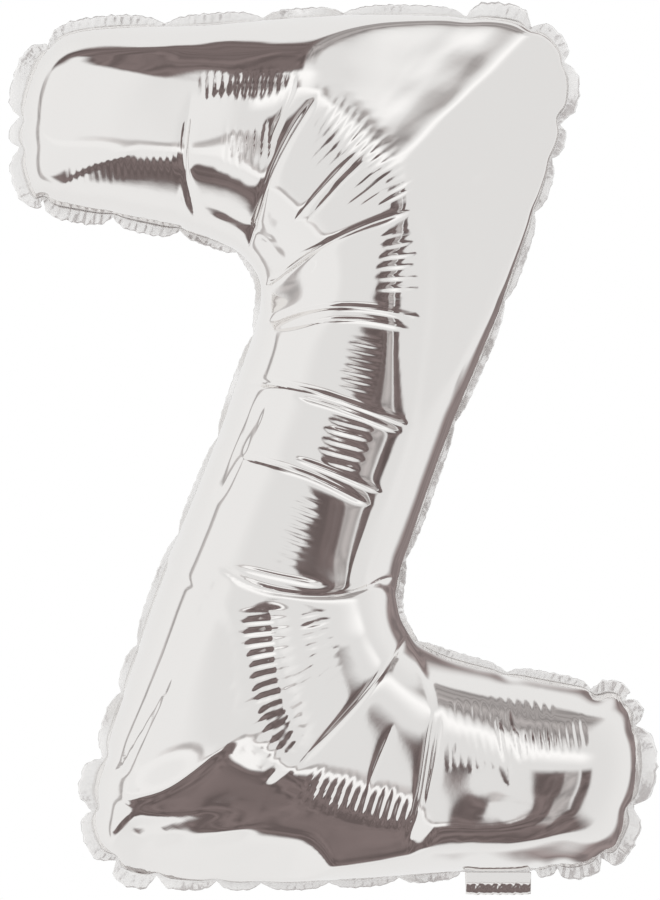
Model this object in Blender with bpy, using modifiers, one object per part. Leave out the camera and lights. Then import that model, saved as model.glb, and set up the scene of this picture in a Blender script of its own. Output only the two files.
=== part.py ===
"""Z-shaped foil balloon, air filled, 358 mm tall.

Two films of metallised plastic are heat-sealed to each other round a Z outline and blown up. The fill tail
leaves the bottom seam and is folded up behind the lower bar, with the self-sealing valve sleeve inside it.
Frame: origin at the middle of the Z, +X to the reader's right, +Z up, and the reader looks along +Y.
"""

import math

import bmesh
import bpy
from mathutils import Vector

MM = 0.001

# Walls. The real film is 0.03 mm thick; these are the least that still hold as solids.
FILM_THICKNESS = 1.0 * MM
FLANGE_THICKNESS = 1.0 * MM
TAIL_FILM_THICKNESS = 0.5 * MM
LAYER_GAP = 0.3 * MM
RIM_LEVEL = 1.2 * MM  # distance from the seam plane at which each blown film ends

# Heat-seal flange round the outline.
FLANGE_WIDTH = 3.7 * MM
FLANGE_CORNER_WIDTH = 6.2 * MM  # the puckers stand out in ears at the bar ends and the outer corners
FLANGE_CORNER_ROWS = (0, 1, 2, 9, 10, 11)  # rows of the cage at a bar's end and at its outer corner
FLANGE_SCALLOP = 0.8 * MM  # the puckered edge runs this far in and out
FLANGE_RUFFLE = 1.3 * MM  # and this far to the front and back

# Fill tail, below the lower bar and folded up behind it.
TAIL_X = 67.6 * MM
TAIL_WIDTH = 26.0 * MM
TAIL_FOLD_RADIUS = 1.7 * MM
TAIL_TOP_Z = -173.0 * MM  # the films start here, at the edge of the flange
TAIL_FOLD_Z = -177.0 * MM
TAIL_LAYER_PITCH = TAIL_FILM_THICKNESS + LAYER_GAP
TAIL_STRAIGHT_END = 16.0 * MM
TAIL_CLEARANCE = 2.2 * MM  # from the back film to the tail's middle line
TAIL_REACH = 20.0 * MM  # on each side of the tail the flange is pulled flat and straight
TAIL_WRAP_DEGREES = (20.0, 62.0)
VALVE_WIDTH = 15.0 * MM
VALVE_PROTRUSION = 4.0 * MM

# From here to the materials, sizes are in millimetres.

# Angles round a section, from the inner seam to the outer one. Each gives one column of the cage.
COLUMN_ANGLES = [math.radians(a) for a in (0, 17, 34, 52, 71, 90, 109, 128, 146, 163, 180)]
END_BULGE = 8.5
END_STEP = 0.22  # one more row of the cage stands this far from the end section towards the next

DEPTH_LIMIT = 45.0  # the widest parts don't blow out further than this from the seam plane
ROUNDING_ALLOWANCE = 1.04  # the cage stands this much higher than the film, which Subdivision draws in
LEAN = 0.1  # the diagonal is this much fuller on its left-hand side and less full on its right
LEAN_ROWS = (10, 13)  # the lean sets in between these rows of the cage
FLAT_BLEND = 1.0  # rounding between the blown shape and a flat

# Sections of the blown letter from the end of the upper bar to the middle of the diagonal. Each runs from
# a point on the inner seam to one on the outer seam, and the points lead the seam's smooth curve. The lower
# half is this half turned by 180 degrees in the plane of the letter.
# inner_x, inner_z, outer_x, outer_z
SECTIONS = [
    (-117.4, 98.6, -113.6, 161.6),
    (-107.0, 96.6, -103.8, 167.0),
    (-87.8, 93.2, -85.8, 168.8),
    (-69.8, 89.6, -67.8, 169.0),
    (-53.0, 85.6, -53.8, 169.0),
    (-42.2, 82.0, -31.8, 171.0),
    (-33.4, 76.4, -1.8, 173.2),
    (-30.2, 72.4, 28.2, 173.8),
    (-28.6, 69.6, 60.0, 172.6),
    (-27.6, 67.2, 85.0, 170.4),
    (-27.0, 64.8, 98.6, 150.0),
    (-26.8, 62.0, 90.2, 120.0),
    (-27.2, 56.8, 79.0, 85.6),
    (-28.6, 49.6, 67.2, 51.2),
    (-31.2, 41.2, 59.8, 34.0),
    (-34.6, 31.6, 48.6, 8.2),
    (-40.2, 15.4, 40.2, -15.4),
]

# Flat runs of the front film. Each passes over (x, z) at the height and falls towards (fall_x, fall_z) by
# the slope in degrees. Further than "left" or "right" of that way it curls up and ends. The back film has
# the same ones, turned by 180 degrees in the plane of the letter.
# x, z, height, fall_x, fall_z, slope, left, right, curl
FLATS = [
    (33.5, 118.7, 40.0, 1.0, 0.0, 31.7, 60.0, 8.0, 0.02),  # right of the ridge to the upper right corner
    (32.7, 95.2, 41.0, 0.99, -0.145, 33.0, 30.0, 90.0, 0.01),  # the same flat further down the diagonal
    (33.5, 118.7, 40.5, 0.0, 1.0, 22.0, 12.0, 90.0, 0.006),  # above that ridge
    (-31.1, -123.7, 41.0, -0.28, -0.96, 28.0, 70.0, 60.0, 0.01),  # underside of the lower left corner
    (-31.1, -158.2, 23.0, -0.1, -1.0, 56.0, 90.0, 60.0, 0.01),  # its steep foot, along the bottom seam
]
FLAT_REACH = 25.0  # a flat ends this far beyond the place where it meets the seam plane

# Full shoulders of the front film, each a soft bulge over (x, z), longer one way than the other. The back
# film has the same ones, turned as the flats are.
# x, z, way_x, way_z, length, width, height
SHOULDERS = [
    (25.6, 151.2, 1.0, 0.08, 34.0, 11.0, 4.5),  # under the top edge of the upper right corner
    (62.9, -152.7, 1.0, 0.06, 44.0, 11.0, 4.0),  # above the bottom edge of the lower bar
]
SHOULDER_RISE = 18.0  # a shoulder is at its full height where the film stands this far out

# At the upper bend the front film rises evenly from the inner seam, which runs here through these points.
BEND_SEAM = [(-54.6, 82.2), (-39.7, 74.4), (-30.3, 59.5), (-31.9, 38.4)]
BEND_FOOT = 10.0
BEND_SLOPE = 43.0
BEND_CURL = 0.05

SILVER = ("metallised_film", (0.80, 0.79, 0.78), 0.10, 1.0)
SILVER_SEAL = ("sealed_film", (0.74, 0.73, 0.72), 0.22, 1.0)
CLEAR_VALVE = ("valve_film", (0.86, 0.88, 0.90), 0.30, 0.0)


def clear_scene():
    """Remove every object that the file starts with."""
    for obj in list(bpy.data.objects):
        bpy.data.objects.remove(obj)


def new_material(name, colour, roughness, metallic):
    material = bpy.data.materials.new(name)
    material.use_nodes = True
    shader = material.node_tree.nodes["Principled BSDF"]
    shader.inputs["Base Color"].default_value = (*colour, 1.0)
    shader.inputs["Roughness"].default_value = roughness
    shader.inputs["Metallic"].default_value = metallic
    return material


def seam_points():
    """The points that lead the inner and the outer seam, from the upper bar's end to the lower bar's."""
    inner = [Vector((row[0], row[1])) for row in SECTIONS]
    outer = [Vector((row[2], row[3])) for row in SECTIONS]
    lower_inner = [-point for point in outer[-2::-1]]
    lower_outer = [-point for point in inner[-2::-1]]
    return inner + lower_inner, outer + lower_outer


def rounded(points):
    """The curve that the points lead: twice, each side is halved and each corner is drawn in."""
    for _ in range(2):
        finer = [points[0]]
        for before, point, after in zip(points, points[1:], points[2:]):
            finer += [(before + point) / 2, (before + point * 6 + after) / 8]
        points = [*finer, (points[-2] + points[-1]) / 2, points[-1]]
    return points


def distance_to(place, line):
    """Distance from a place to the nearest point of a polyline."""
    best = math.inf
    for start, end in zip(line, line[1:]):
        run = end - start
        share = min(max((place - start).dot(run) / run.length_squared, 0.0), 1.0)
        best = min(best, (place - start - run * share).length)
    return best


def lesser(first, second):
    """The lesser of two heights, with the corner between them rounded off."""
    return min(first, second) - FLAT_BLEND * math.log1p(math.exp(-abs(first - second) / FLAT_BLEND))


def flat_height(place, flat):
    """Height of a flat run of film over a place, or infinity where the flat has ended."""
    x, z, height, fall_x, fall_z, slope, left, right, curl = flat
    fall = Vector((fall_x, fall_z)).normalized()
    steepness = math.tan(math.radians(slope))
    offset = place - Vector((x, z))
    down, aside = offset.dot(fall), offset.dot(Vector((-fall.y, fall.x)))
    if down > height / steepness + FLAT_REACH:
        return math.inf
    return height - down * steepness + curl * max(aside - left, -aside - right, 0.0) ** 2


def bend_height(place):
    """Height of the even rise at the upper bend. It curls up and ends past both ends of its line."""
    line = [Vector(point) for point in BEND_SEAM]
    height = BEND_FOOT + distance_to(place, line) * math.tan(math.radians(BEND_SLOPE))
    for end, inner in ((line[0], line[1]), (line[-1], line[-2])):
        height += BEND_CURL * max((place - end).dot((end - inner).normalized()), 0.0) ** 2
    return height


def blown_height(place, seams, ends):
    """Height of the film as the air alone would shape it.

    Between two straight seams, at the distances a and b, the film is a circle's arc, the square root of
    a times b. Near the end of a bar, at the distance c, its square falls off as 1 - e^(-pi c / (a + b)).
    """
    a, b = (distance_to(place, seam) for seam in seams)
    c = min(distance_to(place, end) for end in ends)
    height = math.sqrt(a * b * (1 - math.exp(-math.pi * c / (a + b))))
    return height / (1 + (height / DEPTH_LIMIT) ** 8) ** 0.125


def shoulder_height(place):
    """What the full shoulders add over a place."""
    total = 0.0
    for x, z, way_x, way_z, length, width, height in SHOULDERS:
        way = Vector((way_x, way_z)).normalized()
        offset = place - Vector((x, z))
        along, aside = offset.dot(way), offset.dot(Vector((-way.y, way.x)))
        total += height * math.exp(-((along / length) ** 2) - (aside / width) ** 2)
    return total


def shaped(height, place):
    """The height after the shoulders have been added and every flat run has been cut in."""
    height += shoulder_height(place) * min(height / SHOULDER_RISE, 1.0)
    for flat in FLATS:
        height = lesser(height, flat_height(place, flat))
    return max(lesser(height, bend_height(place)), 0.0)


def cage_places():
    """Places of the cage's points, row by row. The end rows bulge out, and each has one more beside it."""
    inner, outer = seam_points()
    shares = [0.5 - 0.5 * math.cos(angle) for angle in COLUMN_ANGLES]
    rows = [[start.lerp(end, share) for share in shares] for start, end in zip(inner, outer)]
    for index, side in ((0, -1), (-1, 1)):
        bow = [Vector((side * END_BULGE * math.sin(math.pi * share), 0.0)) for share in shares]
        rows[index] = [place + push for place, push in zip(rows[index], bow)]
    first = [end.lerp(after, END_STEP) for end, after in zip(rows[0], rows[1])]
    last = [end.lerp(before, END_STEP) for end, before in zip(rows[-1], rows[-2])]
    return [rows[0], first, *rows[1:-1], last, rows[-1]]


def cage_rows():
    """The cage's points, row by row, as (place in the seam plane, front height, back height), in metres.

    The first and last row, and the first and last point of each, lie on the seam.
    """
    places = cage_places()
    seams = tuple(rounded(points) for points in seam_points())
    ends = (places[0], places[-1])
    last = len(places) - 1
    start, stop = LEAN_ROWS
    rows = []
    for index, row in enumerate(places):
        slanting = min(max((min(index, last - index) - start) / (stop - start), 0.0), 1.0)
        points = []
        for column, place in enumerate(row):
            front = back = 0.0
            if 0 < index < last and 0 < column < len(row) - 1:
                full = blown_height(place, seams, ends)
                full *= 1 + LEAN * slanting * math.cos(COLUMN_ANGLES[column])
                front = ROUNDING_ALLOWANCE * shaped(full, place)
                back = ROUNDING_ALLOWANCE * shaped(full, -place)
            points.append((Vector((place.x, 0.0, place.y)) * MM, front * MM, back * MM))
        rows.append(points)
    return rows


def seam_loop(rows):
    """Control points of the seam, once round the outline, each with the width of the flange there."""
    last_index = len(rows) - 1
    loop = [(point[0], FLANGE_CORNER_WIDTH) for point in rows[0]]
    for index in range(1, last_index):
        # The outer corner of the lower half is on the left-hand seam, so on the right it has none.
        loop.append((rows[index][-1][0], flange_width(index, last_index)))
    loop += [(point[0], FLANGE_CORNER_WIDTH) for point in rows[-1][::-1]]
    for index in range(last_index - 1, 0, -1):
        loop.append((rows[index][0][0], flange_width(last_index - index, last_index)))
    return loop


def flange_width(index, last_index):
    """Width beside a seam point, counted along its own seam from the bar end with the outer corner."""
    if index in FLANGE_CORNER_ROWS or index >= last_index - 2:
        return FLANGE_CORNER_WIDTH
    return FLANGE_WIDTH


def link(obj, collection, material):
    obj.data.materials.append(material)
    collection.objects.link(obj)
    return obj


def add_subdivision(obj):
    modifier = obj.modifiers.new("rounding", "SUBSURF")
    modifier.levels = 1
    modifier.render_levels = 1


def add_wall(obj, thickness, offset):
    modifier = obj.modifiers.new("wall", "SOLIDIFY")
    modifier.thickness = thickness
    modifier.offset = offset
    modifier.use_even_offset = False


def mesh_object(name, bm):
    mesh = bpy.data.meshes.new(name)
    bm.to_mesh(mesh)
    bm.free()
    mesh.shade_smooth()
    return bpy.data.objects.new(name, mesh)


def make_film(name, side, rows, collection, material):
    """One blown film, a grid shaped by the rows; side is -1 for the front and 1 for the back."""
    bm = bmesh.new()
    columns = len(COLUMN_ANGLES)
    bmesh.ops.create_grid(bm, x_segments=len(rows) - 1, y_segments=columns - 1, size=1.0)
    for vert in bm.verts:
        row = round((vert.co.x + 1.0) / 2.0 * (len(rows) - 1))
        column = round((vert.co.y + 1.0) / 2.0 * (columns - 1))
        place, front, back = rows[row][column]
        height = front if side < 0 else back
        vert.co = Vector((place.x, side * (RIM_LEVEL + height), place.z))
    bmesh.ops.recalc_face_normals(bm, faces=bm.faces[:])
    outward = sum((face.normal.y for face in bm.faces), 0.0)
    if outward * side < 0:
        bmesh.ops.reverse_faces(bm, faces=bm.faces[:])
    obj = link(mesh_object(name, bm), collection, material)
    add_subdivision(obj)
    add_wall(obj, FILM_THICKNESS, -1.0)
    return obj


def make_flange(name, loop, collection, material):
    """The heat-sealed margin: a ring of quads just outside the seam, scalloped and ruffled by its puckers."""
    bm = bmesh.new()
    count = len(loop)
    inner_ring, outer_ring = [], []
    for index, (place, width) in enumerate(loop):
        along = (loop[(index + 1) % count][0] - loop[index - 1][0]).normalized()
        outward = Vector((-along.z, 0, along.x))
        beside_tail = abs(place.x - TAIL_X) < TAIL_REACH and place.z < 0
        wave = 0 if beside_tail else (-1) ** (index + 1)
        reach = outward * (width + wave * FLANGE_SCALLOP)
        inner_ring.append(bm.verts.new(place + outward * LAYER_GAP))
        outer_ring.append(bm.verts.new(place + reach + Vector((0, wave * FLANGE_RUFFLE, 0))))
    for index in range(count):
        after = (index + 1) % count
        bm.faces.new((inner_ring[index], inner_ring[after], outer_ring[after], outer_ring[index]))
    bmesh.ops.recalc_face_normals(bm, faces=bm.faces[:])
    obj = link(mesh_object(name, bm), collection, material)
    add_subdivision(obj)
    add_wall(obj, FLANGE_THICKNESS, 0.0)
    return obj


def tail_path(rows):
    """The tail's middle line in the YZ plane: down from the seam, round the fold, and up behind the bar."""
    lower_bar = rows[len(rows) // 2 : -1]
    row = min(lower_bar, key=lambda points: abs(points[0][0].x - TAIL_X))
    bottom, top = row[0][0].z, row[-1][0].z
    middle, half_width = (bottom + top) / 2, abs(top - bottom) / 2
    half_depth = max(back for _, _, back in row) + RIM_LEVEL
    path = [Vector((0.0, TAIL_TOP_Z))]
    for step in range(7):
        turn = math.pi * step / 6
        path.append(
            Vector(
                (
                    TAIL_FOLD_RADIUS * (1 - math.cos(turn)),
                    TAIL_FOLD_Z - TAIL_FOLD_RADIUS * math.sin(turn) * 0.7,
                )
            )
        )
    low, high = (math.radians(a) for a in TAIL_WRAP_DEGREES)
    for step in range(7):
        turn = low + (high - low) * step / 6
        path.append(
            Vector(
                (
                    (half_depth + TAIL_CLEARANCE) * math.sin(turn),
                    middle - (half_width + TAIL_CLEARANCE) * math.cos(turn),
                )
            )
        )
    run = (path[-1] - path[-2]).normalized()
    path.append(path[-1] + run * TAIL_STRAIGHT_END)
    return path


def make_strip(name, path, offset, width, thickness, collection, material):
    """A flat ribbon that follows the path: its side outline, extruded across its width."""
    normals = []
    for index in range(len(path)):
        ahead = path[min(index + 1, len(path) - 1)] - path[max(index - 1, 0)]
        ahead.normalize()
        normals.append(Vector((ahead.y, -ahead.x)))
    normals[-1] = normals[-2]
    near = [p + n * (offset - thickness / 2) for p, n in zip(path, normals)]
    far = [p + n * (offset + thickness / 2) for p, n in zip(path, normals)]
    outline = near + far[::-1]
    curve = bpy.data.curves.new(name, "CURVE")
    curve.dimensions = "2D"
    curve.fill_mode = "BOTH"
    curve.extrude = width / 2
    spline = curve.splines.new("POLY")
    spline.points.add(len(outline) - 1)
    for point, (y, z) in zip(spline.points, outline):
        point.co = (y, z, 0.0, 1.0)
    spline.use_cyclic_u = True
    obj = link(bpy.data.objects.new(name, curve), collection, material)
    # The curve's own X is the letter's Y, its Y is the letter's Z, and its extrusion runs across the tail.
    obj.rotation_euler = (math.pi / 2, 0.0, math.pi / 2)
    obj.location = (TAIL_X, 0.0, 0.0)
    return obj


def main():
    clear_scene()
    collection = bpy.data.collections.new("foil_letter_balloon")
    bpy.context.scene.collection.children.link(collection)
    silver = new_material(*SILVER)
    seal = new_material(*SILVER_SEAL)
    valve = new_material(*CLEAR_VALVE)

    rows = cage_rows()
    make_film("front_film", -1, rows, collection, silver)
    make_film("back_film", 1, rows, collection, silver)
    make_flange("seam_flange", seam_loop(rows), collection, seal)

    path = tail_path(rows)
    # After the fold the back film's own tail lies innermost, against the bar, and the front film's outermost.
    film = (TAIL_WIDTH, TAIL_FILM_THICKNESS, collection, seal)
    make_strip("tail_front_film", path, TAIL_LAYER_PITCH, *film)
    make_strip("tail_back_film", path, -TAIL_LAYER_PITCH, *film)
    run = (path[-1] - path[-2]).normalized()
    sleeve_path = path[:-1] + [path[-1] + run * VALVE_PROTRUSION]
    make_strip("valve_sleeve", sleeve_path, 0.0, VALVE_WIDTH, TAIL_FILM_THICKNESS, collection, valve)


main()
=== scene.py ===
"""Dress the letter foil balloon: its blown film, sealed rim and folded fill tail, in a plain pale studio."""

import logging
import math
from dataclasses import dataclass
from enum import Enum
from typing import ClassVar

import bpy
import numpy as np
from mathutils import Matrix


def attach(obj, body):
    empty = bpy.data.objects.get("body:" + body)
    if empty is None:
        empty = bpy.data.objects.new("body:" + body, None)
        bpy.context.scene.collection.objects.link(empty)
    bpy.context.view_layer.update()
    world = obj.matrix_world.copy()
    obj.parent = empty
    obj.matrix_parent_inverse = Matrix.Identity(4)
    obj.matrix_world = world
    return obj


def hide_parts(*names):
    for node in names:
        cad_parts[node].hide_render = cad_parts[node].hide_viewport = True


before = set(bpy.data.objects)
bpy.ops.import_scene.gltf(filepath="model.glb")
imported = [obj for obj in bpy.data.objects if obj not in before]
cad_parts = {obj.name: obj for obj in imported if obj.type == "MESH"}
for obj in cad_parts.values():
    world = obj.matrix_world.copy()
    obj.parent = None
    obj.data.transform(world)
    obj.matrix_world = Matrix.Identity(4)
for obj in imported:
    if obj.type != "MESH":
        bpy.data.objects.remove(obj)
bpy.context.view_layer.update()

MM = 0.001
LOG = logging.getLogger("letter_balloon")

# A mark on the film is given where it is seen from the front, in pixels of the 660 × 900 view. One pixel is
# 0.4 mm at the seam plane, and the blown crown stands nearer the eye by the ratio below.
VIEW_MIDDLE = (329.5, 448.0)
PIXEL_MM = 0.4
CROWN_SCALE = 0.979

# A line drawn through marks is cut into pieces of about this length, and into no fewer than this many.
LINE_PIECE_MM = 4.0
FEWEST_PIECES = 6

# Smallest number that is divided by.
TINY = 1e-9

Mark = tuple[float, float]


class Side(Enum):
    """The two films of the balloon, with the sign of their outward direction along Y."""

    FRONT = -1.0
    BACK = 1.0


def linear_colour(code: str) -> tuple[float, float, float, float]:
    """Turn an sRGB hex colour into linear values.

    Args:
        code: six hex digits, such as "d8d4d0".

    Returns:
        Linear red, green, blue and an alpha of 1.
    """
    parts = [int(code[k : k + 2], 16) / 255 for k in (0, 2, 4)]
    linear = [c / 12.92 if c <= 0.04045 else ((c + 0.055) / 1.055) ** 2.4 for c in parts]
    return (*linear, 1.0)


def add_node(
    tree: bpy.types.NodeTree,
    kind: str,
    settings: dict[str, object] | None = None,
    inputs: dict[str | int, object] | None = None,
) -> bpy.types.Node:
    """Add one node, with its settings, and with each input a value or a link.

    Args:
        tree: the node tree that the node goes into.
        kind: the node's type name.
        settings: attributes of the node itself.
        inputs: by socket name or number, a plain value or another node's output socket.

    Returns:
        The new node.
    """
    node = tree.nodes.new(kind)
    for name, value in (settings or {}).items():
        setattr(node, name, value)
    for name, value in (inputs or {}).items():
        if isinstance(value, bpy.types.NodeSocket):
            tree.links.new(value, node.inputs[name])
        else:
            node.inputs[name].default_value = value
    return node


def patchy_finish(
    name: str,
    colour: str,
    patch_mm: float,
    roughness: tuple[float, float],
    detail: float = 3.0,
    noise: tuple[float, float] = (0.0, 1.0),
) -> bpy.types.Material:
    """Begin a finish whose gloss drifts in soft patches, by a noise on Object coordinates.

    Args:
        name: the finish's name.
        colour: six hex digits.
        patch_mm: size of a patch in millimetres.
        roughness: lowest and highest roughness.
        detail: how many finer layers the patches hold.
        noise: values of the noise that give the lowest and the highest roughness.

    Returns:
        The material.
    """
    material = bpy.data.materials.new(name)
    material.use_nodes = True
    tree = material.node_tree
    shader = tree.nodes["Principled BSDF"]
    shader.inputs["Base Color"].default_value = linear_colour(colour)
    place = add_node(tree, "ShaderNodeTexCoord").outputs["Object"]
    spread = {"Vector": place, "Scale": 1 / (patch_mm * MM), "Detail": detail}
    patches = add_node(tree, "ShaderNodeTexNoise", {}, spread).outputs["Fac"]
    levels = {"From Min": noise[0], "From Max": noise[1], "To Min": roughness[0], "To Max": roughness[1]}
    gloss = add_node(tree, "ShaderNodeMapRange", {}, {"Value": patches, **levels})
    tree.links.new(gloss.outputs["Result"], shader.inputs["Roughness"])
    return material


def make_object(
    name: str, points: np.ndarray, quads: np.ndarray, material: bpy.types.Material
) -> bpy.types.Object:
    """Make a smooth-shaded mesh object at the origin.

    Args:
        name: the piece's name.
        points: vertices in millimetres, one a row.
        quads: vertex numbers of each face, four a row.
        material: its finish.

    Returns:
        The object, linked to the scene.
    """
    mesh = bpy.data.meshes.new(name)
    mesh.from_pydata((points * MM).tolist(), [], quads.tolist())
    mesh.validate()
    mesh.update()
    mesh.shade_smooth()
    mesh.materials.append(material)
    obj = bpy.data.objects.new(name, mesh)
    bpy.context.scene.collection.objects.link(obj)
    return obj


def give_wall(obj: bpy.types.Object, thickness: float) -> None:
    """Turn an open surface into film, half of its thickness in millimetres on either side."""
    wall = obj.modifiers.new("film", "SOLIDIFY")
    wall.thickness = thickness * MM
    wall.offset = 0.0


def grid_quads(number: np.ndarray) -> np.ndarray:
    """Corners of each cell of a grid of vertex numbers, four a row, down the columns first."""
    cells = (number[:-1, :-1], number[1:, :-1], number[1:, 1:], number[:-1, 1:])
    return np.stack([cell.ravel() for cell in cells], -1)


def blend_curve(control: np.ndarray, at: np.ndarray) -> np.ndarray:
    """Uniform cubic B-spline: each point is the cubic-weighted mean of its four nearest control points.

    Args:
        control: control points, one a row; the ends are carried on straight, so that the curve meets them.
        at: places along the curve, from 0 to the number of control points less one.

    Returns:
        One point a row.
    """
    padded = np.vstack([2 * control[0] - control[1], control, 2 * control[-1] - control[-2]])
    cell = np.clip(np.floor(at).astype(int), 0, len(control) - 2)
    t = (at - cell)[:, None]
    weights = ((1 - t) ** 3, 3 * t**3 - 6 * t**2 + 4, -3 * t**3 + 3 * t**2 + 3 * t + 1, t**3)
    return sum(weight * padded[cell + k] for k, weight in enumerate(weights)) / 6


def smooth_step(value: np.ndarray, low: float, high: float) -> np.ndarray:
    """Rise from 0 at low to 1 at high along 3t² − 2t³."""
    t = np.clip((value - low) / (high - low), 0.0, 1.0)
    return t * t * (3 - 2 * t)


def nearest_on_line(points: np.ndarray, line: np.ndarray) -> tuple[np.ndarray, np.ndarray]:
    """Signed distance from a polyline, and how far along it the nearest place is.

    Each segment's foot is found by projection and clamped to the segment; the nearest segment wins, and the
    sign is positive on its left.

    Args:
        points: x and z in millimetres, one a row.
        line: the polyline's corners, one a row.

    Returns:
        The signed distances, and the lengths along the line, in millimetres.
    """
    best = np.full(len(points), np.inf)
    side = np.zeros(len(points))
    along = np.zeros(len(points))
    walked = 0.0
    for start, end in zip(line[:-1], line[1:]):
        run = float(np.hypot(*(end - start)))
        ahead = (end - start) / run
        offset = points - start
        foot = np.clip(offset @ ahead, 0.0, run)
        gap = offset - foot[:, None] * ahead
        distance = np.hypot(gap[:, 0], gap[:, 1])
        closer = distance < best
        best = np.where(closer, distance, best)
        side = np.where(closer, ahead[0] * gap[:, 1] - ahead[1] * gap[:, 0], side)
        along = np.where(closer, walked + foot, along)
        walked += run
    return np.where(side < 0, -best, best), along


def line_length(line: np.ndarray) -> float:
    """Length of a polyline."""
    return float(np.hypot(*np.diff(line, axis=0).T).sum())


def lengths_along(line: np.ndarray) -> np.ndarray:
    """Length of a polyline up to each of its corners."""
    return np.concatenate([[0], np.cumsum(np.hypot(*np.diff(line, axis=0).T))])


def smooth_minimum(first: np.ndarray, second: np.ndarray, soft: float) -> np.ndarray:
    """The lower of two surfaces, rounded where they cross: −soft × ln(e^(−a/soft) + e^(−b/soft))."""
    return np.minimum(first, second) - soft * np.log1p(np.exp(-np.abs(first - second) / soft))


def seen(marks: tuple[Mark, ...]) -> np.ndarray:
    """Turn marks in the front view, in pixels, into x and z on the crown in millimetres."""
    offset = np.array(marks, float) - VIEW_MIDDLE
    return offset * (PIXEL_MM * CROWN_SCALE, -PIXEL_MM * CROWN_SCALE)


def rounded_line(marks: tuple[Mark, ...]) -> np.ndarray:
    """A polyline of short pieces led by a few marks and rounded by the cubic blend, in millimetres."""
    control = seen(marks)
    if len(control) < 3:
        return control
    count = max(int(line_length(control) / LINE_PIECE_MM), FEWEST_PIECES)
    return blend_curve(control, np.linspace(0, len(control) - 1, count))


def ahead_and_left(at: np.ndarray, mark: Mark, way: tuple[float, float]) -> tuple[np.ndarray, np.ndarray]:
    """How far each place lies from a mark along a way, and to the left of that way, in millimetres."""
    ahead = np.array(way) / math.hypot(*way)
    offset = at - seen((mark,))[0]
    return offset @ ahead, offset @ np.array([-ahead[1], ahead[0]])


@dataclass(frozen=True)
class Crease:
    """A fold drawn in along a line, or a ridge where depth is negative; sizes in millimetres."""

    FLANK: ClassVar[float] = 0.75
    ROUNDING: ClassVar[float] = 0.06
    DEEPEST: ClassVar[float] = 0.72

    marks: tuple[Mark, ...]
    depth: float
    width: float = 1.6
    fade: float = 0.2

    def drop(self, at: np.ndarray) -> np.ndarray:
        """Inward distance at each place.

        The deepest share of the depth × e^(√c − √(s² + c)), s being the distance from the line over the
        flank's share of the width and c the rounding of the bottom. It fades out towards both ends.

        Args:
            at: x and z in millimetres, one a row.

        Returns:
            Millimetres inwards.
        """
        line = rounded_line(self.marks)
        distance, along = nearest_on_line(at, line)
        share = along / line_length(line)
        ends = smooth_step(np.minimum(share, 1 - share), 0.0, self.fade)
        outwards = np.sqrt((distance / (self.FLANK * self.width)) ** 2 + self.ROUNDING)
        return self.DEEPEST * self.depth * np.exp(math.sqrt(self.ROUNDING) - outwards) * ends


@dataclass(frozen=True)
class Comb:
    """Fine parallel wrinkles that cross a path at right angles; sizes in millimetres."""

    STRENGTHS: ClassVar[tuple[float, float]] = (0.6, 1.0)
    REACHES: ClassVar[tuple[float, float]] = (0.55, 1.0)
    SKEW: ClassVar[float] = 0.16
    SHARPNESS: ClassVar[float] = 1.6
    FULL_SHARE: ClassVar[float] = 0.5

    marks: tuple[Mark, ...]
    reach: float
    pitch: float
    height: float
    seed: int

    def drop(self, at: np.ndarray) -> np.ndarray:
        """Inward distance at each place.

        A sharpened cosine of the length along the path over the pitch, in which each wrinkle has its own
        height and skew, and its own reach on either side of the path.

        Args:
            at: x and z in millimetres, one a row.

        Returns:
            Millimetres inwards.
        """
        line = rounded_line(self.marks)
        distance, along = nearest_on_line(at, line)
        total = line_length(line)
        rng = np.random.default_rng(self.seed)
        count = int(total / self.pitch) + 3
        strength = rng.uniform(*self.STRENGTHS, count)
        high = rng.uniform(*self.REACHES, count) * self.reach
        low = rng.uniform(*self.REACHES, count) * self.reach
        skew = rng.uniform(-self.SKEW, self.SKEW, count)
        turns = along / self.pitch
        number = np.clip(np.floor(turns).astype(int), 0, count - 1)
        wave = 0.5 - 0.5 * np.cos(2 * np.pi * (turns - number))
        wave = np.clip(wave + skew[number] * wave * (1 - wave), 0, 1) ** self.SHARPNESS
        reach = np.where(distance > 0, high[number], low[number])
        across = 1 - smooth_step(np.abs(distance) / reach, self.FULL_SHARE, 1.0)
        ends = smooth_step(np.minimum(along, total - along), 0.0, self.pitch)
        return self.height * strength[number] * wave * across * ends


@dataclass(frozen=True)
class Cuff:
    """A patch of film that stands proud of its surroundings, inside a closed line; sizes in millimetres."""

    PIECES_PER_MARK: ClassVar[int] = 8

    marks: tuple[Mark, ...]
    height: float
    edge: float

    def drop(self, at: np.ndarray) -> np.ndarray:
        """Inward distance at each place: −height inside the line, rising to 0 over the edge's width.

        A place is inside where a ray from it to the right crosses the line an odd number of times.

        Args:
            at: x and z in millimetres, one a row.

        Returns:
            Millimetres inwards, negative where the film stands out.
        """
        control = seen(self.marks)
        wrapped = np.vstack([control[-1:], control, control[:2]])
        count = self.PIECES_PER_MARK * len(control) + 1
        line = blend_curve(wrapped, np.linspace(1, len(control) + 1, count))
        distance, _ = nearest_on_line(at, line)
        inside = np.zeros(len(at), bool)
        for (x, z), (next_x, next_z) in zip(line[:-1], line[1:]):
            spans = (z > at[:, 1]) != (next_z > at[:, 1])
            rise = next_z - z if next_z != z else TINY
            inside ^= spans & (at[:, 0] < (next_x - x) * (at[:, 1] - z) / rise + x)
        inward = np.where(inside, np.abs(distance), -np.abs(distance))
        return -self.height * smooth_step(inward, -self.edge, self.edge)


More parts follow.
